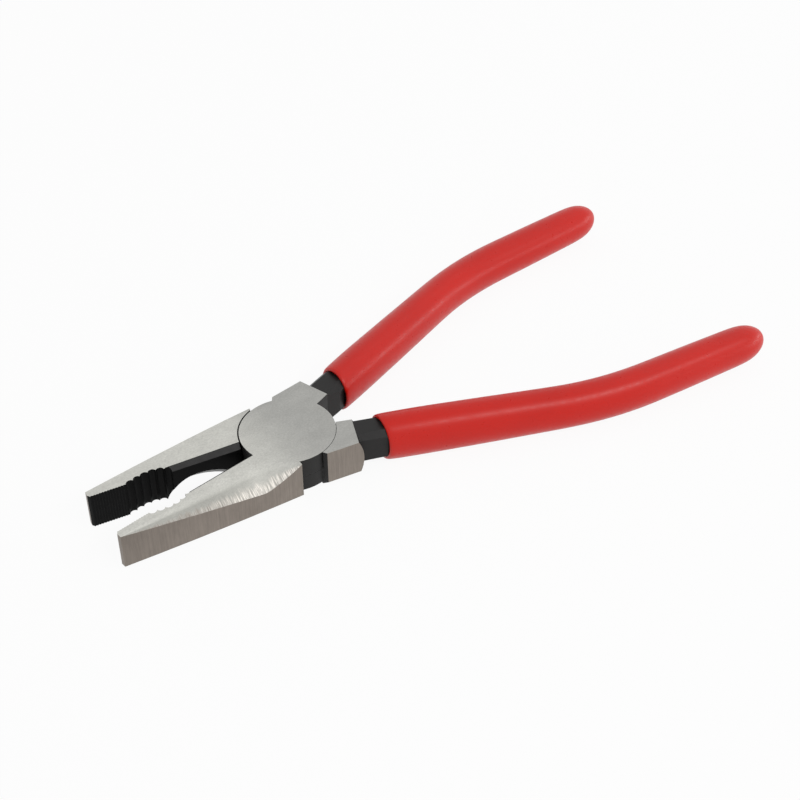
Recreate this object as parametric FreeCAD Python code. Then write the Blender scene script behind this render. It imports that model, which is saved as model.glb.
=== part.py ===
import FreeCAD, Part
import math
import os

# Combination pliers, 180 mm class, drawn open at their resting angle.
# Frame: origin on the pivot axis, at the underside of the joint.
# +Z is up through the joint, the jaws point to -X and the handles to +X.
# Each half is drawn closed, with its jaw on one side of the XZ plane and its
# handle on the other, and is then turned about the pivot axis to its rest angle.
V = FreeCAD.Vector

# ---- whole tool (mm, degrees) ----
HEAD_T = 10.28            # thickness of the head at the joint
MID_Z = HEAD_T / 2
REST_TURN = 7.9           # each half is turned this far from closed
CLOSE_GAP = 0.03          # half of the air left between the shut jaws

# ---- lap joint ----
DISC_R = 11.86            # round boss of each half, half as thick as the head
LAP_GAP = 0.05            # air between the two bosses
JAW_ARC_GAP = 0.35        # air between a boss and the other half's jaw
EAR_ARC_GAP = 0.12        # air between a boss and the other half's shoulder
RIVET_R = 4.0
RIVET_RUN = 0.04          # running clearance of the rivet in the lower half
SINK_R = 5.2              # countersunk rivet head radius at the faces
SINK_D = 1.4
RIM_BREAK = (1.1, 0.8)    # lower rim of the joint taken off, inwards and upwards

# ---- jaw ----
TIP_X = -50.7
TIP_W = 2.0               # width of the blunt tip of one jaw
TIP_BREAK = 0.7           # corner taken off between tip and gripping face
TIP_DROP = 0.467          # the upper face falls this much from joint to tip
TIP_RISE = 0.1            # the lower face rises this much
TAPER_X = -12.0           # where the broad faces start to fall
BACK_MID = (-28.0, 7.12)  # middle of the slightly bowed jaw back
BACK_END = (-5.1, 11.65)  # rear corner of the jaw back
BACK_FOOT = (-5.2, 9.6)
BACK_BOW = 0.32
TOOTH_N = 13              # fine teeth at the tip
TOOTH_D = 0.17
TOOTH_END = -41.4
SCALLOP_D = 0.68          # depth of the round flutes of the pipe grip
PIPE_CRESTS = [
    (-41.4, 0.03), (-39.4, 0.62), (-37.5, 1.16), (-35.45, 1.52),
    (-33.45, 1.42), (-31.55, 0.88), (-29.9, 0.12),
]
CUT_START = -30.5         # the cutter runs from here to the joint
CUT_EDGE_Z = 6.06         # height of the cutting edge at the crest of the hollow
CUT_EDGE_Y = 0.05
CUT_BEVEL_Y = 1.42        # the top bevel of the cutter starts this far back
CUT_BEVEL_D = 1.27        # and drops this much
ARCH_X = -23.7            # crest of the arched hollow under the cutting edge
ARCH_FRONT_R = 8.6
ARCH_REAR_R = 15.0
BEVEL_START = -51.5       # the ground back bevel grows evenly from here
BEVEL_GROWTH = (0.1304, 0.170)    # drop and reach gained in each millimetre
BEVEL_TURN = -14.6        # and runs out in a curve behind here
BEVEL_DROP = (4.81, 0.31, 0.0158)
BEVEL_REACH = (6.27, 0.36, 0.0258)
BEVEL_EASE = 0.12         # softness of the change between the two
BEVEL_STATIONS = [
    -51.2, -47.0, -42.0, -37.0, -32.0, -27.0, -22.5, -19.0, -16.8, -15.2,
    -13.8, -12.2, -10.4, -8.6, -6.9, -5.6, -4.85,
]
BEVEL_CLEAR = 0.06        # the cut begins this far outside the back
BEVEL_LEAN = 0.0875       # slope at which it leaves the broad face, growing steadily from there

# ---- shoulder (ear) behind the joint ----
EAR_FRONT = ((4.1, -11.0), (5.1, -12.15))
EAR_SIDE_Y = -12.15
EAR_INNER = ((18.5, -4.33), (11.0, -2.45))
LOWER_EAR_REAR = (16.0, -13.8)    # rear face: distance from the axis, square to itself, and turn
UPPER_EAR_REAR = (16.35, -11.8)
EAR_BULGE = 1.3           # the rear face swells this much at mid height

# ---- handle and grip ----
RIM = (20.6, -7.78)       # the handle's middle line starts here, at run 0
HANDLE_TURN = -12.7       # direction of the front stretch of the handle
BEND_R = 91.0             # long bend to the rear stretch
BEND_TURN = 16.7
FRONT_RUN = 46.2
END_R = 5.0               # length of the grip's domed end
LIFT = [                  # run, height of the middle line above the middle of the head
    (-8.0, 0.3), (0.0, 0.45), (12.0, 0.40), (25.0, 0.26), (37.0, 0.14), (50.0, 0.05),
    (62.0, 0.0), (75.0, -0.05), (104.6, -0.08),
]
CORE = [                  # run, half width, half height, corner
    (-8.0, 3.8, 4.6, 1.3), (0.0, 3.85, 4.6, 1.5), (46.0, 3.4, 3.9, 1.3),
    (58.0, 3.3, 3.7, 1.3), (70.0, 3.2, 3.6, 1.3), (98.0, 2.7, 2.9, 1.1),
]
CORE_FLAT = 15.9          # the tang's inner side is flat from here to the grip
GRIP = [                  # run, half width, half height
    (-2.5, 5.17, 6.18), (0.0, 5.24, 6.25), (6.0, 5.32, 6.31), (12.0, 5.36, 6.32),
    (21.0, 5.31, 6.21), (30.0, 5.24, 6.08), (40.0, 5.14, 5.88), (50.0, 5.08, 5.72),
    (60.0, 5.12, 5.67), (70.0, 5.16, 5.65), (80.0, 5.12, 5.55), (90.0, 5.02, 5.43),
    (104.6, 4.8, 5.16),
]
DOME_STEPS = [20, 40, 58, 72, 82]   # degrees up the domed end
LOWER_MOUTH = 0.7         # run at which each grip begins
UPPER_MOUTH = 1.4
MOUTH_TILT = 15.0         # the mouth stands back this much on the outer side
MOUTH_W = 4.3             # half size of the opening round the steel
MOUTH_H = 5.1
MOUTH_DEEP = 3.0


def outline(start, steps, z):
    """Closed wire at height z. A step is a point, or (arc middle, arc end)."""
    edges = []
    here = V(start[0], start[1], z)
    for step in steps:
        if isinstance(step[0], tuple):
            mid = V(step[0][0], step[0][1], z)
            end = V(step[1][0], step[1][1], z)
            edges.append(Part.Arc(here, mid, end).toShape())
        else:
            end = V(step[0], step[1], z)
            edges.append(Part.LineSegment(here, end).toShape())
        here = end
    home = V(start[0], start[1], z)
    if (home - here).Length > 1e-6:
        edges.append(Part.LineSegment(here, home).toShape())
    return Part.Wire(edges)


def prism(start, steps, z0, z1):
    return Part.Face(outline(start, steps, z0)).extrude(V(0, 0, z1 - z0))


def bar_along_x(section, x0, x1):
    """Prism along X of a (y, z) polygon."""
    points = [V(x0, y, z) for y, z in section]
    points.append(points[0])
    return Part.Face(Part.makePolygon(points)).extrude(V(x1 - x0, 0, 0))


def bar_along_y(section, y0, y1):
    """Prism along Y of an (x, z) polygon."""
    points = [V(x, y0, z) for x, z in section]
    points.append(points[0])
    return Part.Face(Part.makePolygon(points)).extrude(V(0, y1 - y0, 0))


def height_at(run):
    """Height of the handle's middle line at a run, read between the rows of LIFT."""
    for (r0, z0), (r1, z1) in zip(LIFT, LIFT[1:]):
        if run <= r1:
            return MID_Z + z0 + (z1 - z0) * (run - r0) / (r1 - r0)
    return MID_Z + LIFT[-1][1]


def station(run):
    """Middle of the handle and its direction, at a run from the mouth."""
    a0 = math.radians(HANDLE_TURN)
    x, y = RIM
    straight = min(run, FRONT_RUN)
    x += straight * math.cos(a0)
    y += straight * math.sin(a0)
    if run <= FRONT_RUN:
        return V(x, y, height_at(run)), a0
    bend = math.radians(BEND_TURN)
    turn = min((run - FRONT_RUN) / BEND_R, bend)
    x += BEND_R * (math.sin(a0 + turn) - math.sin(a0))
    y -= BEND_R * (math.cos(a0 + turn) - math.cos(a0))
    a1 = a0 + turn
    rest = run - FRONT_RUN - BEND_R * turn
    return V(x + rest * math.cos(a1), y + rest * math.sin(a1), height_at(run)), a1


def octagon(run, w, h, c):
    """Section of the steel: a rectangle with its corners taken off."""
    mid, a = station(run)
    side = V(-math.sin(a), math.cos(a), 0)
    up = V(0, 0, 1)
    corners = [
        (w, -h + c), (w, h - c), (w - c, h), (-w + c, h),
        (-w, h - c), (-w, -h + c), (-w + c, -h), (w - c, -h),
    ]
    points = [mid + side * s + up * t for s, t in corners]
    points.append(points[0])
    return Part.makePolygon(points)


def oval(run, w, h):
    mid, a = station(run)
    side = V(-math.sin(a), math.cos(a), 0)
    if h >= w:
        curve = Part.Ellipse(mid + V(0, 0, h), mid + side * w, mid)
    else:
        curve = Part.Ellipse(mid + side * w, mid + V(0, 0, h), mid)
    return Part.Wire([curve.toShape()])


def jaw_plan():
    """Steps round one jaw, from the tip's inner corner to the joint."""
    face = CLOSE_GAP
    start = (TIP_X, TIP_BREAK + face)
    first = TIP_X + TIP_BREAK * 0.8
    steps = [(first, face)]
    pitch = (TOOTH_END - first) / TOOTH_N
    for i in range(TOOTH_N):
        x = first + i * pitch
        steps.append((x + pitch * 0.5, face + TOOTH_D))
        if i < TOOTH_N - 1:
            steps.append((x + pitch, face))
    steps.append(PIPE_CRESTS[0])
    for a, b in zip(PIPE_CRESTS, PIPE_CRESTS[1:]):
        low = ((a[0] + b[0]) / 2, (a[1] + b[1]) / 2 + SCALLOP_D)
        steps.append((low, b))
    steps.append((-29.6, CUT_EDGE_Y))
    steps.append((-8.0, CUT_EDGE_Y))
    steps.append(BACK_FOOT)
    steps.append(BACK_END)
    steps.append((BACK_MID, (TIP_X, TIP_W)))
    return start, steps


def bevel_size(x):
    """Drop and reach of the back bevel: even growth, eased into the run-out."""
    on = x - BEVEL_TURN
    sizes = []
    for rate, (size, fall, curve) in zip(BEVEL_GROWTH, (BEVEL_DROP, BEVEL_REACH)):
        rise = rate * (x - BEVEL_START)
        run_out = size - fall * on - curve * max(0.0, on) ** 2
        least = min(rise, run_out)
        more = abs(rise - run_out)
        sizes.append(max(0.03, least - BEVEL_EASE * math.log(1 + math.exp(-more / BEVEL_EASE))))
    return sizes


def bevel_wire(x):
    """Corner of the jaw taken off by the bevel, as a closed section across X."""
    drop, reach = bevel_size(x)
    t = (x - TIP_X) / (BACK_END[0] - TIP_X)
    chord = (BACK_END[1] - TIP_W) / (BACK_END[0] - TIP_X)
    y = TIP_W + chord * (x - TIP_X) + BACK_BOW * 4 * t * (1 - t) + BEVEL_CLEAR
    drop *= (reach + BEVEL_CLEAR) / reach
    reach += BEVEL_CLEAR
    top = HEAD_T - TIP_DROP * max(0.0, (TAPER_X - x) / (TAPER_X - TIP_X))
    start = 0.05 * reach + 0.02
    high = V(x, y - reach - start, top + BEVEL_LEAN * start)
    middle = V(x, y - reach / 2, top - BEVEL_LEAN * reach / 2)
    low = V(x, y, top - drop)
    steep = (middle.z - low.z) / (reach / 2)
    slope = Part.BezierCurve()
    slope.setPoles([high, middle, low])
    above = V(x, high.y, top + 0.6)
    below = low + V(0, 1, -steep) * 0.9
    beyond = V(x, y + 0.9, top + 0.6)
    return Part.Wire([
        Part.LineSegment(above, high).toShape(),
        slope.toShape(),
        Part.LineSegment(low, below).toShape(),
        Part.LineSegment(below, beyond).toShape(),
        Part.LineSegment(beyond, above).toShape(),
    ])


def back_bevel():
    """What the ground bevel takes off the upper edge of the jaw's back."""
    return Part.makeLoft([bevel_wire(x) for x in BEVEL_STATIONS], True, False)


def hollow_point(radius, share):
    """Point part of the way down one flank of the hollow, which ends below the jaw."""
    size = abs(radius)
    whole = math.acos(1 - (CUT_EDGE_Z + 2) / size)
    angle = whole * share
    x = ARCH_X + math.copysign(size * math.sin(angle), radius)
    return V(x, 0, CUT_EDGE_Z - size * (1 - math.cos(angle)))


def jaw():
    """One jaw, cutter bevel on the upper face and hollow on the lower."""
    start, steps = jaw_plan()
    body = prism(start, steps, 0, HEAD_T)
    x0 = TIP_X - 1
    share = (TAPER_X - x0) / (TAPER_X - TIP_X)
    high = HEAD_T - TIP_DROP * share
    over = [(TAPER_X, HEAD_T), (x0, high), (x0, HEAD_T + 1), (TAPER_X, HEAD_T + 1)]
    under = [(TAPER_X, 0), (x0, TIP_RISE * share), (x0, -1), (TAPER_X, -1)]
    body = body.cut(bar_along_y(over, -5, 20)).cut(bar_along_y(under, -5, 20))
    slope = (CUT_BEVEL_Y - CUT_EDGE_Y) / CUT_BEVEL_D
    section = [
        (-1, HEAD_T + 1), (CUT_BEVEL_Y + slope, HEAD_T + 1),
        (CUT_EDGE_Y, HEAD_T - CUT_BEVEL_D), (-1, HEAD_T - CUT_BEVEL_D),
    ]
    body = body.cut(bar_along_x(section, CUT_START, -8))
    crest = V(ARCH_X, 0, CUT_EDGE_Z)
    front = [hollow_point(-ARCH_FRONT_R, share) for share in (0.5, 1.0)]
    rear = [hollow_point(ARCH_REAR_R, share) for share in (0.5, 1.0)]
    arch = Part.Wire([
        Part.Arc(front[1], front[0], crest).toShape(),
        Part.Arc(crest, rear[0], rear[1]).toShape(),
        Part.LineSegment(rear[1], front[1]).toShape(),
    ])
    hollow = Part.Face(arch).extrude(V(0, 6.5, -6.5))
    hollow = hollow.fuse(Part.Face(arch).extrude(V(0, -2, 0)))
    return body.cut(hollow)


def shoulder(rear_dist, rear_turn):
    """The ear behind the joint, with its swollen rear face."""
    steps = [(18.5, EAR_SIDE_Y), EAR_INNER[0], EAR_INNER[1], (7.0, -2.9), (3.6, -9.0)]
    ear = prism(EAR_FRONT[1], steps + [EAR_FRONT[0]], 0, HEAD_T)
    profile = Part.Wire([
        Part.LineSegment(V(-30, -40, 0), V(rear_dist, -40, 0)).toShape(),
        Part.Arc(
            V(rear_dist, -40, 0),
            V(rear_dist + EAR_BULGE, -40, MID_Z),
            V(rear_dist, -40, HEAD_T),
        ).toShape(),
        Part.LineSegment(V(rear_dist, -40, HEAD_T), V(-30, -40, HEAD_T)).toShape(),
        Part.LineSegment(V(-30, -40, HEAD_T), V(-30, -40, 0)).toShape(),
    ])
    barrel = Part.Face(profile).extrude(V(0, 80, 0))
    barrel.rotate(V(0, 0, 0), V(0, 0, 1), rear_turn)
    inset, rise = RIM_BREAK
    under = [
        (EAR_SIDE_Y - 1, rise + rise / inset), (EAR_SIDE_Y, rise), (EAR_SIDE_Y + inset, 0),
        (EAR_SIDE_Y + inset, -1), (EAR_SIDE_Y - 1, -1),
    ]
    return ear.common(barrel).cut(bar_along_x(under, 0, 30))


def ring_cut(radius, z0, z1):
    return Part.makeCylinder(radius, z1 - z0, V(0, 0, z0))


def rivet_shape(grow):
    """Rivet with a countersunk head at each face, grown all round."""
    r = RIVET_R + grow
    s = SINK_R + grow
    z1 = HEAD_T
    body = Part.makeCylinder(r, z1)
    body = body.fuse(Part.makeCone(s, r, SINK_D, V(0, 0, 0)))
    return body.fuse(Part.makeCone(r, s, SINK_D, V(0, 0, z1 - SINK_D)))


def steel_core():
    """The tang and the bar inside the grip, flush with the ear's inner wall in front."""
    bar = Part.makeLoft([octagon(*row) for row in CORE], True, True)
    (x1, y1), (x0, y0) = EAR_INNER
    fall = (y0 - y1) / (x1 - x0)
    flat = y0 - (CORE_FLAT - x0) * fall
    relief = [(CORE_FLAT, flat), (21.0, flat), (21.0, 6.0), (8.0, 6.0)]
    return bar.cut(prism((8.0, y0 + (x0 - 8.0) * fall), relief, -2, HEAD_T + 2))


def half(jaw_shape, bevel_shape, low_boss, ear_rear):
    """One forged half: jaw, boss, shoulder and handle core in one piece."""
    if low_boss:
        own = (0, MID_Z - LAP_GAP / 2)
        other = (MID_Z - LAP_GAP / 2, HEAD_T + 1)
    else:
        own = (MID_Z + LAP_GAP / 2, HEAD_T)
        other = (-1, MID_Z + LAP_GAP / 2)
    front = jaw_shape.cut(ring_cut(DISC_R + JAW_ARC_GAP, *other))
    rear = shoulder(*ear_rear).cut(ring_cut(DISC_R + EAR_ARC_GAP, *other))
    boss = Part.makeCylinder(DISC_R, own[1] - own[0], V(0, 0, own[0]))
    if low_boss:
        inset, rise = RIM_BREAK
        rim = Part.makeCylinder(DISC_R + 1, rise)
        rim = rim.cut(Part.makeCone(DISC_R - inset, DISC_R, rise))
        boss = boss.cut(rim)
    return boss.fuse([front, rear, steel_core()]).cut(bevel_shape)


def grip(mouth_run):
    """Closed sleeve over the handle: oval outside, domed end, steel inside."""
    sleeve = Part.makeLoft([oval(*row) for row in GRIP], True, False)
    run, w, h = GRIP[-1]
    rings = [oval(run, w, h)]
    for step in DOME_STEPS:
        lean = math.radians(step)
        small = math.cos(lean)
        rings.append(oval(run + END_R * math.sin(lean), w * small, h * small))
    dome = Part.makeLoft(rings, True, False)
    mouth = Part.makeLoft([
        oval(-3.0, MOUTH_W, MOUTH_H), oval(mouth_run + MOUTH_DEEP, MOUTH_W, MOUTH_H),
    ], True, True)
    rim, a = station(mouth_run)
    ahead = Part.makeBox(20, 40, 40, V(-20, -20, -20))
    ahead.rotate(V(0, 0, 0), V(0, 0, 1), math.degrees(a) + MOUTH_TILT)
    ahead.translate(rim)
    return sleeve.fuse(dome).cut(steel_core()).cut(mouth).cut(ahead)


def place(shape, turn):
    out = shape.copy()
    out.rotate(V(0, 0, 0), V(0, 0, 1), turn)
    return out


def mirror_sides(shape):
    return shape.mirror(V(0, 0, 0), V(0, 1, 0))


def mirror_faces(shape):
    return shape.mirror(V(0, 0, MID_Z), V(0, 0, 1))


# Lower half: low boss, jaw on +Y, handle on -Y, back bevel on the lower face.
# Upper half: high boss, jaw on -Y, handle on +Y, back bevel on the upper face.
plain_jaw = jaw()
bevel = back_bevel()
lower = half(plain_jaw, mirror_faces(bevel), True, LOWER_EAR_REAR).cut(rivet_shape(RIVET_RUN))
upper = mirror_sides(half(plain_jaw, bevel, False, UPPER_EAR_REAR)).cut(rivet_shape(0))

nodes = {
    "lower_half": place(lower, -REST_TURN),
    "upper_half": place(upper, REST_TURN),
    "joint_rivet": rivet_shape(0),
    "lower_half_grip": place(grip(LOWER_MOUTH), -REST_TURN),
    "upper_half_grip": place(mirror_sides(grip(UPPER_MOUTH)), REST_TURN),
}

os.makedirs("parts", exist_ok=True)
for name, shape in nodes.items():
    clean = shape.removeSplitter()
    if len(clean.Solids) != 1 or not clean.isValid():
        raise RuntimeError(name + " is not one valid solid")
    clean.Solids[0].exportStep("parts/" + name + ".step")
    box = clean.BoundBox
    print(name, round(clean.Volume), round(box.XMin, 2), round(box.XMax, 2),
          round(box.YMin, 2), round(box.YMax, 2), round(box.ZMin, 2), round(box.ZMax, 2))
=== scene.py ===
import math

import bmesh
import bpy
from mathutils import Matrix, Vector


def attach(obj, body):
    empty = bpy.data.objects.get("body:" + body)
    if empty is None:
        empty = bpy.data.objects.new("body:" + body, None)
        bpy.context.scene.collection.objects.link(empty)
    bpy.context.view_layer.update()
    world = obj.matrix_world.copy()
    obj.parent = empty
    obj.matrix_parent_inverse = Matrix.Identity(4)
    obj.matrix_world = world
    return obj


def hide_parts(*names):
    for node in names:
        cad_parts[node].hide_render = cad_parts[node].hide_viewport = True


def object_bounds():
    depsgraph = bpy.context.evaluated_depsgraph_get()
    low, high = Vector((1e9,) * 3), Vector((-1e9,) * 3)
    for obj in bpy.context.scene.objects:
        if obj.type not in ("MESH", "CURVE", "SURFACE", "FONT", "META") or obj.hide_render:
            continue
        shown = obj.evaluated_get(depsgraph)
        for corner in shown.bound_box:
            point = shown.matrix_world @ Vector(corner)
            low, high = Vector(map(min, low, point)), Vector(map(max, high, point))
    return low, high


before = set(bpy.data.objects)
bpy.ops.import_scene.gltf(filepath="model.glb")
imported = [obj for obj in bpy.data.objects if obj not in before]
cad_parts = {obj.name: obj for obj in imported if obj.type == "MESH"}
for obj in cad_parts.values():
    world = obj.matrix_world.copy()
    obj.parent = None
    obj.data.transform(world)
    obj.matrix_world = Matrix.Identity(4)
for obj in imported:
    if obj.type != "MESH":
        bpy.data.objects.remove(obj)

CAD_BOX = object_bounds()

bl_info = {
    "name": "Combination Pliers",
    "version": (1, 0, 0),
    "blender": (4, 5, 0),
    "location": "View3D > Sidebar > Pliers",
    "description": "Finishes the forged halves, moulds the dipped grips and sets the stage",
    "category": "Object",
}

# ---- the forged halves, in metres, each half turned back to its closed place ----
REST_TURN = 7.9                       # degrees each half stands open
HEAD_THICK = 0.01028
HEAD_MIDDLE = HEAD_THICK / 2
JOINT_RADIUS = 0.0119
FACE_TAPER_START = -0.012             # the broad faces start to fall towards the tip here
FACE_TAPER = 0.467 / 38.7             # and fall by this share of the run from there
JAW_HEEL = -0.0046
BEVEL_TIP = -0.0515                   # the back bevel grows from here to its turn, then runs out
BEVEL_TURN = -0.0146
BEVEL_DEPTH = 0.0048                  # at the turn
BEVEL_TIP_DEPTH = 0.0003
BEVEL_HEEL_DEPTH = 0.0004

# ---- finishes of a forged half, in the order of its material slots ----
GROUND_FACE, GROUND_SIDE, BLACKENED, LAP_FACE, GRIPPING_FACE = range(5)

# ---- limits that sort its facets, in metres: level is the distance from the middle of the head,
# ---- across is measured from the middle line towards the back of the half's own jaw
JAW_FACE_LEVEL = 0.004
HEAD_FACE_LEVEL = 0.0051
LAP_FACE_LEVEL = 0.0002
JAW_BACK_ACROSS = 0.0016
EAR_SIDE_ACROSS = -0.0105
EAR_SIDE_START = 0.003
EAR_SIDE_END = 0.0146
NOSE_END = -0.05
GRIPPING_END = -0.008
SQUARE_UP = 0.97                      # a flat face points up or down at least this squarely
NEARLY_UP = 0.90                      # and the tapered face of a jaw at least this squarely

# ---- stretches of the closed jaw over which finishes and painted light and shade change, in metres from the rivet ----
JAW_PAINTED_LIGHT = (0.004, -0.016)        # painted light: the darker joint colour gives way to the lighter jaw colour, where more light falls
BEVEL_SHADE = (-0.008, -0.024)        # painted shade on the back bevel grows darker
BRIGHT_SCRATCHES = (-0.036, -0.019)   # scratches with a painted highlight come in on the way back from the tip
DULL_SCRATCHES = (-0.034, -0.020)     # dull scratches thin out on the way back from the tip
NOSE_SHADE = (-0.028, -0.050)         # the jaw's back grows darker

# ---- grains of each finish per metre: along, across and up the closed tool ----
FACE_GRAIN = (1700.0, 3400.0, 3400.0)
FACE_FINE_GRAIN = (5200.0, 9500.0, 9500.0)
FACE_CLOUD = (190.0, 330.0, 330.0)
BEVEL_WANDER = (1300.0, 150.0, 150.0)
BEVEL_SCRATCHES = (3300.0, 260.0, 260.0)
SIDE_MARKS = (2300.0, 2300.0, 70.0)
SIDE_FINE_MARKS = (9000.0, 9000.0, 350.0)
SIDE_CLOUD = (260.0, 260.0, 200.0)
OXIDE_MOTTLE = (650.0, 650.0, 650.0)
FORGED_SKIN = (2400.0, 2400.0, 2400.0)
LAP_MOTTLE = (500.0, 500.0, 500.0)
VINYL_CLOUD = (55.0, 90.0, 90.0)
VINYL_SKIN = (700.0, 700.0, 700.0)
VINYL_PORES = (2600.0, 2600.0, 2600.0)
NOISE_LOW, NOISE_HIGH = 0.25, 0.75    # nearly all of a noise's values lie between these

# ---- looks that have no setting in the sidebar ----
OXIDE_GLOSS = 0.26
GRIPPING_GLOSS = 0.075
VINYL_GLOSS = 0.38
EDGE_WEAR_AND_HIGHLIGHT_GAIN = 4.5                  # rubbed wear and painted highlight: an edge is painted this much brighter than its oxide
LAP_COLOUR = (0.11, 0.105, 0.10)
TURNING_MARKS = 420.0                 # how closely they follow one another on the lap faces

# ---- rings of a straight grip, in millimetres: run along the handle, half width, half height
# ---- and the rise of the middle line above the middle of the head
MM = 1000                             # millimetres in a metre
BORE_RINGS = (
    (4.00, 2.60, 3.30, 0.44),
    (3.85, 3.90, 4.60, 0.44),
    (3.30, 4.14, 4.90, 0.44),
    (1.60, 4.20, 4.96, 0.45),
)
LIP_RINGS = (
    (0.98, 4.25, 5.03, 0.45),
    (0.66, 4.46, 5.32, 0.45),
    (0.64, 4.86, 5.80, 0.45),
    (0.96, 5.14, 6.12, 0.45),
)
SLEEVE_RINGS = (
    (1.70, 5.23, 6.23, 0.44),
    (3.80, 5.29, 6.28, 0.43),
    (6.80, 5.33, 6.31, 0.42),
    (10.00, 5.35, 6.32, 0.41),
    (13.50, 5.35, 6.31, 0.39),
    (18.50, 5.32, 6.25, 0.33),
    (24.00, 5.29, 6.17, 0.27),
    (29.00, 5.25, 6.09, 0.22),
    (34.00, 5.20, 6.00, 0.17),
    (40.00, 5.14, 5.88, 0.12),
)
BEND_RINGS = (
    (46.20, 5.10, 5.78, 0.07),
    (50.62, 5.08, 5.71, 0.05),
    (55.04, 5.10, 5.69, 0.03),
    (59.46, 5.12, 5.67, 0.01),
    (63.88, 5.14, 5.66, -0.01),
    (68.30, 5.15, 5.65, -0.02),
    (72.72, 5.15, 5.62, -0.04),
)
TAIL_RINGS = (
    (77.50, 5.13, 5.57, -0.05),
    (83.50, 5.09, 5.51, -0.06),
    (90.00, 5.02, 5.43, -0.07),
    (95.50, 4.95, 5.34, -0.08),
    (99.00, 4.90, 5.28, -0.08),
    (101.40, 4.82, 5.19, -0.08),
)
DOME_ANGLES = (16, 32, 48, 62, 74, 83)    # degrees up the rounded end
DOME_LENGTH = 8.3                         # millimetres
# ring by ring from the bore: degrees that the mouth leans, millimetres that the upper one sits back
MOUTH_TILTS = (15, 15, 15, 15, 15, 15, 15, 15, 14, 11, 6.5, 2.5)
UPPER_MOUTH_BACK = (0.7, 0.7, 0.7, 0.7, 0.7, 0.7, 0.7, 0.7, 0.65, 0.5, 0.3, 0.1)
RING_POINTS = 32
RING_GROWTH = 1.0065                  # the subdivision draws a ring in by this much
LEAST_FACES = 1000                    # a grip with fewer wasn't rounded
GRIP_START = (0.0206, -0.00778, HEAD_MIDDLE)    # run 0 of the rings, with the tool closed
GRIP_HEADING = -12.7                  # degrees from the long axis, with the tool closed
GRIP_BEND = 16.7                      # degrees that the rear stretch turns back
CENTRE = (0.0, 0.0, 0.0)

# ---- stage, in metres and degrees ----
FLOOR_GAP = 0.0001                    # keeps the floor just clear of the tool
FLOOR_COLOUR = (0.90, 0.90, 0.90, 1.0)
WHITE = (1.0, 1.0, 1.0, 1.0)
FLOOR_WHITENESS = 0.93                # share of plain white in the floor as the camera sees it
LAMPS = (                             # name, place, aim, width, length, power setting
    ("front_lamp", (0.28, -0.58, 0.62), (0.28, 0.0, 0.0), 0.64, 0.165, "front_power"),
    ("side_lamp", (0.82, -0.40, 0.065), (0.06, 0.0, 0.01), 0.70, 0.12, "side_power"),
    ("top_lamp", (0.50, -0.02, 0.60), (0.07, 0.0, 0.0), 0.40, 0.40, "top_power"),
)
SENSOR_WIDTH = 36.0                   # millimetres
CAMERA_PLACE = (-0.14328, -0.25902, 0.27112)
CAMERA_TURN = -34.273                 # round the upright axis from straight in front
CAMERA_RISE = 40.486                  # above the floor
CAMERA_ROLL = -0.558


class PliersSteelSettings(bpy.types.PropertyGroup):
    """Colours and roughness of the forged halves and the rivet"""
    # painted light and shade: the same ground steel is painted darker round the joint and lighter
    # on the jaws, for light that falls more on the jaws
    joint_colour_painted_darker: bpy.props.FloatVectorProperty(
        name="Ground Joint Colour", description="Ground faces round the joint and on the ears",
        default=(0.390, 0.388, 0.369), size=3, min=0.0, max=1.0, subtype='COLOR')
    jaw_colour_painted_lighter: bpy.props.FloatVectorProperty(
        name="Ground Jaw Colour", description="Finer ground broad faces of the jaws",
        default=(0.565, 0.562, 0.525), size=3, min=0.0, max=1.0, subtype='COLOR')
    # painted shade: the jaw backs and ear sides are the same steel as the faces, painted darker for
    # the darker light they reflect
    side_colour_painted_darker: bpy.props.FloatVectorProperty(
        name="Ground Side Colour", description="Ground backs of the jaws and sides of the ears",
        default=(0.263, 0.229, 0.200), size=3, min=0.0, max=1.0, subtype='COLOR')
    # partly real scratches, partly painted highlight: the bevel's scratches are painted brighter
    # than bare steel, as glints
    bevel_scratch_highlight_colour: bpy.props.FloatVectorProperty(
        name="Bevel Scratch Colour", description="Fresh bright scratches across the back bevel",
        default=(0.86, 0.815, 0.75), size=3, min=0.0, max=1.0, subtype='COLOR')
    black_colour: bpy.props.FloatVectorProperty(
        name="Blackened Colour", description="Oxide finish round the joint and on the tangs",
        default=(0.0120, 0.0113, 0.0110), size=3, min=0.0, max=1.0, subtype='COLOR')
    # painted shade: the teeth, flutes and cutters between the jaws are painted darker than the
    # oxide, where shade falls
    grip_face_colour_painted_darker: bpy.props.FloatVectorProperty(
        name="Gripping Face Colour", description="Deeper black of the teeth, flutes and cutters",
        default=(0.0035, 0.0035, 0.0035), size=3, min=0.0, max=1.0, subtype='COLOR')
    face_roughness: bpy.props.FloatProperty(
        name="Ground Roughness", description="Mean roughness of the ground broad faces",
        default=0.50, min=0.05, max=1.0, subtype='FACTOR')
    black_roughness: bpy.props.FloatProperty(
        name="Blackened Roughness", description="Mean roughness of the oxide finish",
        default=0.42, min=0.05, max=1.0, subtype='FACTOR')
    edge_break: bpy.props.FloatProperty(
        name="Edge Break", description="How far the light turns round a steel edge",
        default=0.00012, min=0.0, max=0.001, unit='LENGTH')


class PliersGripSettings(bpy.types.PropertyGroup):
    """Colour, roughness and smoothness of the two dipped grips"""
    vinyl_colour: bpy.props.FloatVectorProperty(
        name="Vinyl Colour", description="Red of the dipped grips",
        default=(0.62, 0.0085, 0.002), size=3, min=0.0, max=1.0, subtype='COLOR')
    vinyl_roughness: bpy.props.FloatProperty(
        name="Vinyl Roughness", description="Mean roughness of the dipped vinyl",
        default=0.35, min=0.05, max=1.0, subtype='FACTOR')
    smoothness: bpy.props.IntProperty(
        name="Smoothness", description="Subdivision levels of the grip mesh",
        default=2, min=1, max=3)


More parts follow.
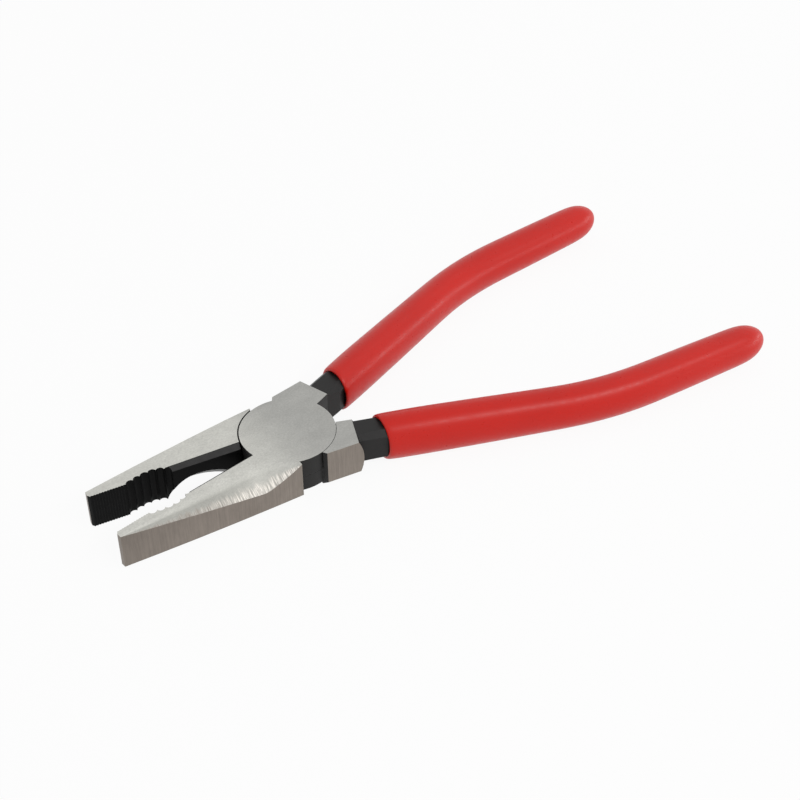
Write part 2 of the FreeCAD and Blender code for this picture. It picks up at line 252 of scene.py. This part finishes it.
class PliersStageSettings(bpy.types.PropertyGroup):
    """Floor, lamps, room light and lens"""
    floor_size: bpy.props.FloatProperty(
        name="Floor Size", description="Length of one side of the floor",
        default=6.0, min=1.0, max=20.0, unit='LENGTH')
    front_power: bpy.props.FloatProperty(
        name="Front Lamp", description="Power of the soft lamp above and in front of the tool",
        default=1.9, min=0.0, max=200.0, unit='POWER')
    side_power: bpy.props.FloatProperty(
        name="Side Lamp", description="Power of the soft lamp at the handle end",
        default=0.95, min=0.0, max=200.0, unit='POWER')
    top_power: bpy.props.FloatProperty(
        name="Top Lamp", description="Power of the wide soft lamp over the handles",
        default=0.12, min=0.0, max=200.0, unit='POWER')
    sky_strength: bpy.props.FloatProperty(
        name="Room Light", description="Strength of the plain white room",
        default=0.61, min=0.0, max=1.0, subtype='FACTOR')
    focal_length: bpy.props.FloatProperty(
        name="Focal Length", description="Lens of the camera on a 36 mm sensor",
        default=72.82, min=20.0, max=200.0, unit='CAMERA')


def new_node(tree, kind, inputs=None, **settings):
    """Adds a shader node, sets its fields, and joins or writes each of the given inputs."""
    made = tree.nodes.new(kind)
    for field, value in settings.items():
        setattr(made, field, value)
    for key, value in (inputs or {}).items():
        if isinstance(value, bpy.types.NodeSocket):
            tree.links.new(value, made.inputs[key])
        else:
            made.inputs[key].default_value = value
    return made


def new_material(name):
    """Returns a material, its node tree and its principled shader."""
    material = bpy.data.materials.new(name)
    material.use_nodes = True
    tree = material.node_tree
    return material, tree, tree.nodes["Principled BSDF"]


def join_shader(tree, shader, colour, rough, normal):
    """Feeds a principled shader its colour, roughness and normal."""
    tree.links.new(colour, shader.inputs["Base Color"])
    tree.links.new(rough, shader.inputs["Roughness"])
    tree.links.new(normal, shader.inputs["Normal"])


def object_space(tree):
    """Place on a piece in metres, in the frame that all pieces share."""
    return new_node(tree, "ShaderNodeTexCoord").outputs["Object"]


def half_space(tree, turn):
    """Place on a half as if the tool were shut, so a finish follows the forging."""
    return new_node(tree, "ShaderNodeMapping", {
        "Vector": object_space(tree), "Rotation": (0.0, 0.0, math.radians(turn)),
    }).outputs["Vector"]


def stretched_noise(tree, place, stretch, detail=3.0, roughness=0.55):
    """Noise whose grains per metre differ along the three axes."""
    mapped = new_node(tree, "ShaderNodeMapping", {"Vector": place, "Scale": stretch})
    return new_node(tree, "ShaderNodeTexNoise", {
        "Vector": mapped.outputs["Vector"], "Scale": 1.0, "Detail": detail, "Roughness": roughness,
    }).outputs["Fac"]


def remap(tree, value, low, high, to_low=0.0, to_high=1.0, curve='LINEAR'):
    """Carries a value from the range low to high to a new range, and holds it there."""
    return new_node(tree, "ShaderNodeMapRange", {
        "Value": value, "From Min": low, "From Max": high, "To Min": to_low, "To Max": to_high,
    }, interpolation_type=curve, clamp=True).outputs["Result"]


def spread(tree, noise, low, high):
    """Stretches a noise so that it fills the range low to high."""
    return remap(tree, noise, NOISE_LOW, NOISE_HIGH, low, high)


def math_node(tree, operation, first, second=0.0):
    """Works out one step of arithmetic on sockets or numbers."""
    return new_node(tree, "ShaderNodeMath", {0: first, 1: second},
                    operation=operation).outputs["Value"]


def times(tree, first, second):
    """Multiplies two sockets or numbers."""
    return math_node(tree, 'MULTIPLY', first, second)


def blend_colours(tree, factor, first, second, blend='MIX'):
    """Mixes two colours; each may be a socket or three numbers."""
    pair = [colour if isinstance(colour, bpy.types.NodeSocket) else (*colour, 1.0)
            for colour in (first, second)]
    return new_node(tree, "ShaderNodeMix", {0: factor, 6: pair[0], 7: pair[1]},
                    data_type='RGBA', blend_type=blend).outputs[2]


def shade_by(tree, colour, value, low, high, start=NOISE_LOW, end=NOISE_HIGH):
    """Multiplies a colour by a grey, which goes from low to high as value goes start to end."""
    grey = remap(tree, value, start, end, low, high)
    joined = new_node(tree, "ShaderNodeCombineColor", {0: grey, 1: grey, 2: grey})
    return blend_colours(tree, 1.0, colour, joined.outputs[0], 'MULTIPLY')


def bump(tree, height, distance, strength, normal=None):
    """Raises the surface by a share of a distance, over an earlier normal if there is one."""
    inputs = {"Height": height, "Distance": distance, "Strength": strength}
    if normal is not None:
        inputs["Normal"] = normal
    return new_node(tree, "ShaderNodeBump", inputs).outputs["Normal"]


def soft_edge(tree, radius):
    """Normal that turns smoothly round the edges of a piece."""
    return new_node(tree, "ShaderNodeBevel", {"Radius": radius}, samples=6).outputs["Normal"]


def bevel_depth(tree, axes):
    """0 where the back bevel leaves the broad face, about 1 along the bevel's lower edge."""
    along = axes.outputs["X"]
    rise = math_node(tree, 'SUBTRACT', axes.outputs["Z"], HEAD_MIDDLE)
    level = math_node(tree, 'ABSOLUTE', rise)
    forward = math_node(tree, 'MAXIMUM', math_node(tree, 'SUBTRACT', FACE_TAPER_START, along))
    face = math_node(tree, 'SUBTRACT', HEAD_MIDDLE, times(tree, forward, FACE_TAPER))
    depth = math_node(tree, 'SUBTRACT', face, level)
    growing = remap(tree, along, BEVEL_TIP, BEVEL_TURN, BEVEL_TIP_DEPTH, BEVEL_DEPTH)
    fading = remap(tree, along, BEVEL_TURN, JAW_HEEL, BEVEL_DEPTH, BEVEL_HEEL_DEPTH)
    return math_node(tree, 'DIVIDE', depth, math_node(tree, 'MINIMUM', growing, fading))


def ground_face_material(name, steel, turn):
    """Fine surface-ground steel, running into cross scratches where the back bevel falls away; the
    bevel carries painted shade and its bright scratches a painted highlight.
    """
    material, tree, shader = new_material(name)
    place = half_space(tree, turn)
    grain = stretched_noise(tree, place, FACE_GRAIN, detail=4.0, roughness=0.6)
    fine = stretched_noise(tree, place, FACE_FINE_GRAIN, detail=2.0)
    cloud = stretched_noise(tree, place, FACE_CLOUD)
    axes = new_node(tree, "ShaderNodeSeparateXYZ", {0: place})
    along = axes.outputs["X"]
    # painted light: the broad faces turn from the darker joint colour to the lighter jaw colour
    # towards the tip
    painted_jaw_light = remap(tree, along, *JAW_PAINTED_LIGHT, curve='SMOOTHSTEP')
    colour = blend_colours(tree, painted_jaw_light, steel.joint_colour_painted_darker, steel.jaw_colour_painted_lighter)
    colour = shade_by(tree, colour, grain, 0.84, 1.16)
    colour = shade_by(tree, colour, fine, 0.92, 1.08)
    colour = shade_by(tree, colour, cloud, 0.93, 1.06)

    # painted shade darkens the whole bevel's colour against the face, and cross scratches cover its
    # lower part
    depth = bevel_depth(tree, axes)
    bevel_painted_shade = times(tree, remap(tree, depth, 0.02, 0.30),
                  remap(tree, along, *BEVEL_SHADE, 0.35, 1.0))
    colour = shade_by(tree, colour, bevel_painted_shade, 1.0, 0.78, start=0.0, end=1.0)
    wander = stretched_noise(tree, place, BEVEL_WANDER, detail=2.0)
    wander = remap(tree, wander, 0.3, 0.7, -0.16, 0.16)
    below = remap(tree, math_node(tree, 'ADD', depth, wander), 0.42, 0.80, curve='SMOOTHSTEP')
    scratch = stretched_noise(tree, place, BEVEL_SCRATCHES, detail=4.0, roughness=0.7)
    # partly real scratches, partly painted highlight: on the bevel's lower part the scratches are
    # painted brighter than steel, as glints
    bright = times(tree, remap(tree, scratch, 0.42, 0.66, 0.0, 0.95),
                   remap(tree, along, *BRIGHT_SCRATCHES, 0.10, 1.0))
    dull = times(tree, remap(tree, scratch, 0.64, 0.36, 0.20, 0.85),
                 remap(tree, along, *DULL_SCRATCHES, 1.0, 0.55))
    colour = blend_colours(tree, times(tree, dull, below), colour, steel.side_colour_painted_darker)
    colour = blend_colours(tree, times(tree, bright, below), colour, steel.bevel_scratch_highlight_colour)

    rough = spread(tree, grain, steel.face_roughness - 0.05, steel.face_roughness + 0.06)
    rough = math_node(tree, 'ADD', rough, times(tree, bevel_painted_shade, 0.24))
    rough = math_node(tree, 'SUBTRACT', rough, times(tree, below, 0.14))
    height = math_node(tree, 'ADD', grain, times(tree, fine, 0.5))
    normal = bump(tree, height, distance=0.00001, strength=0.25)
    normal = bump(tree, times(tree, scratch, below), distance=0.00004, strength=0.4,
                  normal=normal)
    join_shader(tree, shader, colour, rough, normal)
    shader.inputs["Metallic"].default_value = 1.0
    return material


def ground_side_material(name, steel, turn):
    """Belt-ground steel with coarse marks from face to face, its colour painted darker as shade,
    and darker still towards the tip.
    """
    material, tree, shader = new_material(name)
    place = half_space(tree, turn)
    marks = stretched_noise(tree, place, SIDE_MARKS, detail=4.0, roughness=0.65)
    fine = stretched_noise(tree, place, SIDE_FINE_MARKS, detail=2.0)
    cloud = stretched_noise(tree, place, SIDE_CLOUD, detail=2.0)
    # painted shade: the base colour is darker than the broad faces' steel
    colour = shade_by(tree, steel.side_colour_painted_darker, marks, 0.84, 1.18)
    colour = shade_by(tree, colour, fine, 0.93, 1.08)
    colour = shade_by(tree, colour, cloud, 0.92, 1.07)
    along = new_node(tree, "ShaderNodeSeparateXYZ", {0: place}).outputs["X"]
    colour = shade_by(tree, colour, along, 1.0, 0.87, *NOSE_SHADE)
    rough = spread(tree, marks, 0.36, 0.52)
    height = math_node(tree, 'ADD', marks, times(tree, fine, 0.4))
    normal = bump(tree, height, distance=0.00006, strength=0.4,
                  normal=soft_edge(tree, steel.edge_break))
    join_shader(tree, shader, colour, rough, normal)
    shader.inputs["Metallic"].default_value = 1.0
    return material


def blackened_material(name, steel, turn, base, gloss):
    """Oxide-blackened forged steel, satin, its edges painted a little brighter as rubbed wear and
    painted highlight.
    """
    material, tree, shader = new_material(name)
    place = half_space(tree, turn)
    mottle = stretched_noise(tree, place, OXIDE_MOTTLE, detail=4.0)
    forged = stretched_noise(tree, place, FORGED_SKIN)
    colour = shade_by(tree, base, mottle, 0.75, 1.30)
    edge = soft_edge(tree, steel.edge_break * 2.0)
    flat = new_node(tree, "ShaderNodeNewGeometry").outputs["Normal"]
    turned = new_node(tree, "ShaderNodeVectorMath", {0: edge, 1: flat}, operation='DOT_PRODUCT')
    # partly rubbed wear, partly painted highlight: where the soft edge normal turns from the flat
    # one, the colour is painted brighter
    worn = times(tree, remap(tree, turned.outputs["Value"], 0.985, 0.90),
                 remap(tree, forged, 0.40, 0.70, 0.10, 0.60))
    edge_wear_and_highlight = [min(1.0, shade * EDGE_WEAR_AND_HIGHLIGHT_GAIN) for shade in base]
    colour = blend_colours(tree, worn, colour, edge_wear_and_highlight)
    rough = spread(tree, mottle, steel.black_roughness - 0.06, steel.black_roughness + 0.08)
    normal = bump(tree, forged, distance=0.00003, strength=0.35, normal=edge)
    join_shader(tree, shader, colour, rough, normal)
    shader.inputs["Specular IOR Level"].default_value = gloss
    return material


def lap_material(name):
    """Turned and oiled face of the lap joint, with rings round the rivet."""
    material, tree, shader = new_material(name)
    place = object_space(tree)
    rings = new_node(tree, "ShaderNodeTexWave", {
        "Vector": place, "Scale": TURNING_MARKS, "Distortion": 1.5, "Detail": 2.0,
        "Detail Scale": 900.0,
    }, wave_type='RINGS', rings_direction='Z').outputs["Fac"]
    mottle = stretched_noise(tree, place, LAP_MOTTLE)
    colour = shade_by(tree, LAP_COLOUR, mottle, 0.75, 1.25)
    colour = shade_by(tree, colour, rings, 0.85, 1.1)
    rough = spread(tree, mottle, 0.30, 0.45)
    normal = bump(tree, rings, distance=0.00002, strength=0.3)
    join_shader(tree, shader, colour, rough, normal)
    shader.inputs["Metallic"].default_value = 1.0
    return material


def vinyl_material(name, look):
    """Dipped vinyl: smooth and satin, with fine pores and a faint wander in gloss and colour."""
    material, tree, shader = new_material(name)
    place = object_space(tree)
    cloud = stretched_noise(tree, place, VINYL_CLOUD, detail=2.0)
    skin = stretched_noise(tree, place, VINYL_SKIN)
    pores = stretched_noise(tree, place, VINYL_PORES)
    colour = shade_by(tree, look.vinyl_colour, cloud, 0.95, 1.05)
    colour = shade_by(tree, colour, pores, 0.95, 1.05)
    worn = math_node(tree, 'ADD', times(tree, skin, 0.6), times(tree, pores, 0.4))
    rough = remap(tree, worn, 0.32, 0.68, look.vinyl_roughness - 0.10, look.vinyl_roughness + 0.10)
    normal = bump(tree, skin, distance=0.00003, strength=0.12)
    join_shader(tree, shader, colour, rough, normal)
    shader.inputs["Specular IOR Level"].default_value = VINYL_GLOSS
    return material


def finish_of(place, normal, jaw_side):
    """Picks a facet's finish by its place on the closed tool and the way it faces."""
    across = place.y * jaw_side
    out = normal.y * jaw_side
    upright = abs(normal.z)
    level = abs(place.z - HEAD_MIDDLE)
    off_joint = math.hypot(place.x, place.y) > JOINT_RADIUS
    if place.x < 0.0 and upright > NEARLY_UP and level > JAW_FACE_LEVEL:
        return GROUND_FACE
    if upright > SQUARE_UP and level > HEAD_FACE_LEVEL:
        return GROUND_FACE
    if upright > SQUARE_UP and level < LAP_FACE_LEVEL:
        return LAP_FACE
    if off_joint and place.x < JAW_HEEL and across > JAW_BACK_ACROSS:
        if out > 0.05 and upright > 0.06:
            return GROUND_FACE        # the back bevel
        if out > 0.9:
            return GROUND_SIDE        # the back of the jaw below it
    if normal.x < -0.98 and place.x < NOSE_END:
        return GROUND_SIDE            # the blunt end of the nose
    if out < -0.5 and abs(normal.x) < 0.3 and across < EAR_SIDE_ACROSS and off_joint:
        if EAR_SIDE_START < place.x < EAR_SIDE_END:
            return GROUND_SIDE        # the outer side of the ear
    if off_joint and place.x < GRIPPING_END and upright < 0.6:
        return GRIPPING_FACE
    return BLACKENED


def give_finishes(mesh, finishes):
    """Puts the materials in a mesh's slots, in place of any that it has."""
    mesh.materials.clear()
    for finish in finishes:
        mesh.materials.append(finish)


def dress_half(node, steel, turn, jaw_side):
    """Gives one forged half its finishes, facet by facet."""
    give_finishes(node.data, (
        ground_face_material(node.name + "_ground_face", steel, turn),
        ground_side_material(node.name + "_ground_side", steel, turn),
        blackened_material(node.name + "_blackened", steel, turn,
                           steel.black_colour, OXIDE_GLOSS),
        lap_material(node.name + "_lap_face"),
        # painted shade: the gripping faces take the oxide finish painted darker
        blackened_material(node.name + "_gripping_face", steel, turn,
                           steel.grip_face_colour_painted_darker, GRIPPING_GLOSS),
    ))
    back = Matrix.Rotation(math.radians(turn), 3, 'Z')
    for facet in node.data.polygons:
        facet.material_index = finish_of(back @ facet.center, back @ facet.normal, jaw_side)


class PLIERS_OT_dress_halves(bpy.types.Operator):
    """Finish the two forged halves in ground and blackened steel"""
    bl_idname = "pliers.dress_halves"
    bl_label = "Finish Forged Halves"

    def execute(self, context):
        steel = context.scene.pliers_steel
        dress_half(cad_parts["lower_half"], steel, REST_TURN, 1)
        dress_half(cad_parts["upper_half"], steel, -REST_TURN, -1)
        return {'FINISHED'}


class PLIERS_OT_dress_rivet(bpy.types.Operator):
    """Finish the joint rivet, which is ground flush with the head"""
    bl_idname = "pliers.dress_rivet"
    bl_label = "Finish Joint Rivet"

    def execute(self, context):
        steel = context.scene.pliers_steel
        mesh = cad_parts["joint_rivet"].data
        give_finishes(mesh, (
            ground_face_material("joint_rivet_ground_face", steel, -REST_TURN),
            lap_material("joint_rivet_shank"),
        ))
        for facet in mesh.polygons:
            facet.material_index = 0 if abs(facet.normal.z) > SQUARE_UP else 1
        return {'FINISHED'}


def only(piece):
    """Selects one object and nothing else."""
    bpy.ops.object.select_all(action='DESELECT')
    piece.select_set(True)
    bpy.context.view_layer.objects.active = piece


def select_rings(piece, first, last=None):
    """Selects whole rings of the grip, counted in the order that they were drawn out."""
    bpy.ops.mesh.select_all(action='DESELECT')
    shape = bmesh.from_edit_mesh(piece.data)
    end = len(shape.verts) if last is None else (last + 1) * RING_POINTS
    for point in shape.verts:
        if first * RING_POINTS <= point.index < end:
            point.select_set(True)
    shape.select_flush(True)
    bmesh.update_edit_mesh(piece.data)


def ring_middle(piece, number):
    """Middle of one ring's points."""
    shape = bmesh.from_edit_mesh(piece.data)
    shape.verts.ensure_lookup_table()
    ring = shape.verts[number * RING_POINTS:(number + 1) * RING_POINTS]
    return sum((point.co for point in ring), Vector()) / RING_POINTS


def turn_selected(angle, middle):
    """Turns what is selected to the left, seen from above."""
    # with no window the operator turns the other way
    bpy.ops.transform.rotate(value=-angle, orient_axis='Z', center_override=middle)


def draw_out(before, after):
    """Extrudes the selected ring from one row of the ring list to the next and resizes it."""
    step = (after[0] - before[0]) / MM
    bpy.ops.mesh.extrude_region_move(TRANSFORM_OT_translate={"value": (step, 0.0, 0.0)})
    bpy.ops.transform.resize(
        value=(1.0, after[1] / before[1], after[2] / before[2]),
        center_override=(after[0] / MM, 0.0, 0.0))


def tilt_mouth(piece):
    """Stands the mouth back on its outer side and spreads each ring to keep its width."""
    for number, degrees in enumerate(MOUTH_TILTS):
        lean = math.radians(degrees)
        middle = ring_middle(piece, number)
        select_rings(piece, number, number)
        bpy.ops.transform.resize(value=(1.0, 1.0 / math.cos(lean), 1.0), center_override=middle)
        turn_selected(lean, middle)


def bend_rings(piece, first, count, degrees):
    """Turns the rings from first on, a little at each, so that they follow one even bend."""
    half_step = math.radians(degrees) / count / 2
    for i in range(count + 1):
        middle = ring_middle(piece, first + i)
        if i > 0:
            select_rings(piece, first + i)
            turn_selected(half_step, middle)
        if i < count:
            select_rings(piece, first + i + 1)
            turn_selected(half_step, middle)


def close_end(piece, number, beyond):
    """Draws the ring in to one point, a little beyond it."""
    select_rings(piece, number, number)
    bpy.ops.mesh.extrude_region_move()
    bpy.ops.transform.translate(value=beyond)
    bpy.ops.mesh.merge(type='CENTER')


def face_outwards():
    """Points every face of the shape being edited outwards, and leaves all of it selected."""
    bpy.ops.mesh.select_all(action='SELECT')
    bpy.ops.mesh.normals_make_consistent(inside=False)


def grip_rings():
    """Rows of the whole straight grip, from the bottom of its bore to the end of its dome."""
    rings = [*BORE_RINGS, *LIP_RINGS, *SLEEVE_RINGS, *BEND_RINGS, *TAIL_RINGS]
    run, width, height, rise = TAIL_RINGS[-1]
    for angle in DOME_ANGLES:
        lean = math.radians(angle)
        small = math.cos(lean)
        rings.append((run + DOME_LENGTH * math.sin(lean), width * small, height * small, rise))
    return rings


def start_grip(row):
    """Adds the lower grip as its first ring alone, and opens it for editing."""
    run, width, height, _ = row
    bpy.ops.object.select_all(action='DESELECT')
    bpy.ops.mesh.primitive_circle_add(
        vertices=RING_POINTS, radius=RING_GROWTH / MM, fill_type='NOTHING',
        location=(run / MM, 0.0, 0.0), rotation=(math.radians(90), 0.0, math.radians(90)))
    grip = bpy.context.object
    grip.name = "lower_grip"
    grip.data.name = "lower_grip"
    bpy.ops.object.transform_apply(location=True, rotation=True, scale=True)
    bpy.ops.object.mode_set(mode='EDIT')
    bpy.ops.mesh.select_mode(type='VERT')
    bpy.ops.mesh.select_all(action='SELECT')
    bpy.ops.transform.resize(value=(1.0, width, height), center_override=(run / MM, 0.0, 0.0))
    return grip


def draw_grip_cage():
    """Draws one grip out ring by ring, bends it, rounds its end and sets it on the near handle."""
    rings = grip_rings()
    grip = start_grip(rings[0])
    for before, after in zip(rings, rings[1:]):
        draw_out(before, after)
    for number, (_, _, _, rise) in enumerate(rings):
        select_rings(grip, number, number)
        bpy.ops.transform.translate(value=(0.0, 0.0, rise / MM))
    tilt_mouth(grip)
    bend_first = len(BORE_RINGS) + len(LIP_RINGS) + len(SLEEVE_RINGS)
    bend_rings(grip, bend_first, len(BEND_RINGS) - 1, GRIP_BEND)

    tail = math.radians(GRIP_BEND)
    left = DOME_LENGTH * (1 - math.sin(math.radians(DOME_ANGLES[-1]))) / MM
    close_end(grip, len(rings) - 1, (left * math.cos(tail), left * math.sin(tail), 0.0))
    close_end(grip, 0, CENTRE)
    face_outwards()
    turn_selected(math.radians(GRIP_HEADING - REST_TURN), CENTRE)
    place = Matrix.Rotation(math.radians(-REST_TURN), 3, 'Z') @ Vector(GRIP_START)
    bpy.ops.transform.translate(value=place)
    bpy.ops.object.mode_set(mode='OBJECT')
    return grip


def mirror_grip_cage(source):
    """Copies the near grip across the middle of the tool, with its mouth a little further back."""
    grip = bpy.data.objects.new("upper_grip", source.data.copy())
    grip.data.name = "upper_grip"
    bpy.context.scene.collection.objects.link(grip)
    only(grip)
    bpy.ops.object.mode_set(mode='EDIT')
    bpy.ops.mesh.select_all(action='SELECT')
    bpy.ops.transform.resize(value=(1.0, -1.0, 1.0), center_override=CENTRE)
    turn = math.radians(REST_TURN - GRIP_HEADING)
    for number, back in enumerate(UPPER_MOUTH_BACK):
        step = back / MM
        select_rings(grip, number, number)
        bpy.ops.transform.translate(value=(step * math.cos(turn), step * math.sin(turn), 0.0))
    face_outwards()
    bpy.ops.object.mode_set(mode='OBJECT')
    return grip


def finish_grip(grip, look, body, node):
    """Rounds a grip's cage, gives it its vinyl and puts it in place of its plain solid."""
    only(grip)
    rounding = grip.modifiers.new("rounding", 'SUBSURF')
    rounding.levels = look.smoothness
    rounding.render_levels = look.smoothness
    bpy.ops.object.modifier_apply(modifier=rounding.name)
    if len(grip.data.polygons) < LEAST_FACES:
        raise RuntimeError(grip.name + " wasn't rounded")
    bpy.ops.object.shade_smooth()
    grip.data.materials.append(vinyl_material(grip.name + "_vinyl", look))
    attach(grip, body)
    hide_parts(node)


class PLIERS_OT_mould_grips(bpy.types.Operator):
    """Mould the two dipped grips from one shape, mirrored for the far handle"""
    bl_idname = "pliers.mould_grips"
    bl_label = "Mould Grips"

    def execute(self, context):
        look = context.scene.pliers_grip
        lower = draw_grip_cage()
        upper = mirror_grip_cage(lower)
        finish_grip(lower, look, "lower", "lower_half_grip")
        finish_grip(upper, look, "upper", "upper_half_grip")
        return {'FINISHED'}


def seen_directly(tree):
    """1 for a ray from the camera, a mirror or a glass, and 0 for light that spreads."""
    rays = new_node(tree, "ShaderNodeLightPath").outputs
    first = math_node(tree, 'MAXIMUM', rays["Is Camera Ray"], rays["Is Glossy Ray"])
    return math_node(tree, 'MAXIMUM', first, rays["Is Transmission Ray"])


def lay_floor(size):
    """Lays a pale matt floor, which the camera sees as nearly white."""
    low = CAD_BOX[0][2]
    bpy.ops.object.select_all(action='DESELECT')
    bpy.ops.mesh.primitive_plane_add(size=size, location=(0.0, 0.0, low - FLOOR_GAP))
    floor = bpy.context.object
    floor.name = "floor"
    material, tree, shader = new_material("pale_floor")
    shader.inputs["Base Color"].default_value = FLOOR_COLOUR
    shader.inputs["Roughness"].default_value = 0.9
    shader.inputs["Specular IOR Level"].default_value = 0.0
    glow = new_node(tree, "ShaderNodeEmission", {"Color": WHITE, "Strength": 1.0})
    mixed = new_node(tree, "ShaderNodeMixShader", {
        0: times(tree, seen_directly(tree), FLOOR_WHITENESS),
        1: shader.outputs["BSDF"], 2: glow.outputs["Emission"],
    })
    tree.links.new(mixed.outputs[0], tree.nodes["Material Output"].inputs["Surface"])
    floor.data.materials.append(material)


def light_room(scene, sky_strength):
    """Fills the room with even light, plain white where it is seen directly."""
    world = bpy.data.worlds.new("white_room")
    scene.world = world
    world.use_nodes = True
    tree = world.node_tree
    background = tree.nodes["Background"]
    background.inputs["Color"].default_value = WHITE
    strength = remap(tree, seen_directly(tree), 0.0, 1.0, sky_strength, 1.0)
    tree.links.new(strength, background.inputs["Strength"])


def soft_lamp(name, place, target, width, length, power):
    """Hangs a rectangular lamp that points at its target and isn't seen itself."""
    light = bpy.data.lights.new(name, 'AREA')
    light.shape = 'RECTANGLE'
    light.size = width
    light.size_y = length
    light.energy = power
    lamp = bpy.data.objects.new(name, light)
    bpy.context.scene.collection.objects.link(lamp)
    lamp.location = place
    lamp.rotation_euler = (Vector(target) - Vector(place)).to_track_quat('-Z', 'Y').to_euler()
    lamp.visible_camera = False


def place_camera(scene, focal_length):
    """Stands the camera on the near side of the jaws, looking down at the tool."""
    lens = bpy.data.cameras.new("camera")
    lens.sensor_width = SENSOR_WIDTH
    lens.lens = focal_length
    lens.clip_start = 0.01
    lens.clip_end = 20.0
    camera = bpy.data.objects.new("camera", lens)
    scene.collection.objects.link(camera)
    turn, rise, roll = (math.radians(v) for v in (CAMERA_TURN, CAMERA_RISE, CAMERA_ROLL))
    back = Vector((math.sin(turn) * math.cos(rise), -math.cos(turn) * math.cos(rise),
                   math.sin(rise)))
    right = Vector((math.cos(turn), math.sin(turn), 0.0))
    up = back.cross(right)
    across = math.cos(roll) * right + math.sin(roll) * up
    upward = math.cos(roll) * up - math.sin(roll) * right
    columns = Matrix((across, upward, back)).transposed()
    camera.matrix_world = Matrix.Translation(CAMERA_PLACE) @ columns.to_4x4()
    scene.camera = camera


class PLIERS_OT_set_stage(bpy.types.Operator):
    """Lay the pale floor, light the room and place the camera"""
    bl_idname = "pliers.set_stage"
    bl_label = "Set Stage"

    def execute(self, context):
        scene = context.scene
        stage = scene.pliers_stage
        lay_floor(stage.floor_size)
        light_room(scene, stage.sky_strength)
        for name, place, target, width, length, power in LAMPS:
            soft_lamp(name, place, target, width, length, getattr(stage, power))
        place_camera(scene, stage.focal_length)
        scene.view_settings.view_transform = 'Standard'
        return {'FINISHED'}


class PLIERS_PT_panel(bpy.types.Panel):
    """Lists the settings, and the steps in the order that they are run"""
    bl_label = "Combination Pliers"
    bl_idname = "PLIERS_PT_panel"
    bl_space_type = 'VIEW_3D'
    bl_region_type = 'UI'
    bl_category = "Pliers"

    def draw(self, context):
        layout = self.layout
        scene = context.scene
        for title, group in (("Steel", scene.pliers_steel), ("Grips", scene.pliers_grip),
                             ("Stage", scene.pliers_stage)):
            box = layout.box()
            box.label(text=title)
            for field in group.bl_rna.properties:
                if field.identifier not in {"rna_type", "name"}:
                    box.prop(group, field.identifier)
        for step in STEPS:
            layout.operator(step.bl_idname)


SETTINGS = (
    ("pliers_steel", PliersSteelSettings),
    ("pliers_grip", PliersGripSettings),
    ("pliers_stage", PliersStageSettings),
)
STEPS = (
    PLIERS_OT_dress_halves,
    PLIERS_OT_dress_rivet,
    PLIERS_OT_mould_grips,
    PLIERS_OT_set_stage,
)


def register():
    """Makes the settings, the steps and the panel known to Blender."""
    for name, group in SETTINGS:
        bpy.utils.register_class(group)
        setattr(bpy.types.Scene, name, bpy.props.PointerProperty(type=group))
    for step in STEPS:
        bpy.utils.register_class(step)
    bpy.utils.register_class(PLIERS_PT_panel)


def unregister():
    """Takes away what register added, in the opposite order."""
    bpy.utils.unregister_class(PLIERS_PT_panel)
    for step in reversed(STEPS):
        bpy.utils.unregister_class(step)
    for name, group in reversed(SETTINGS):
        delattr(bpy.types.Scene, name)
        bpy.utils.unregister_class(group)


def main():
    """Runs every step in order."""
    register()
    bpy.ops.pliers.dress_halves()
    bpy.ops.pliers.dress_rivet()
    bpy.ops.pliers.mould_grips()
    bpy.ops.pliers.set_stage()


if __name__ == "__main__":
    main()
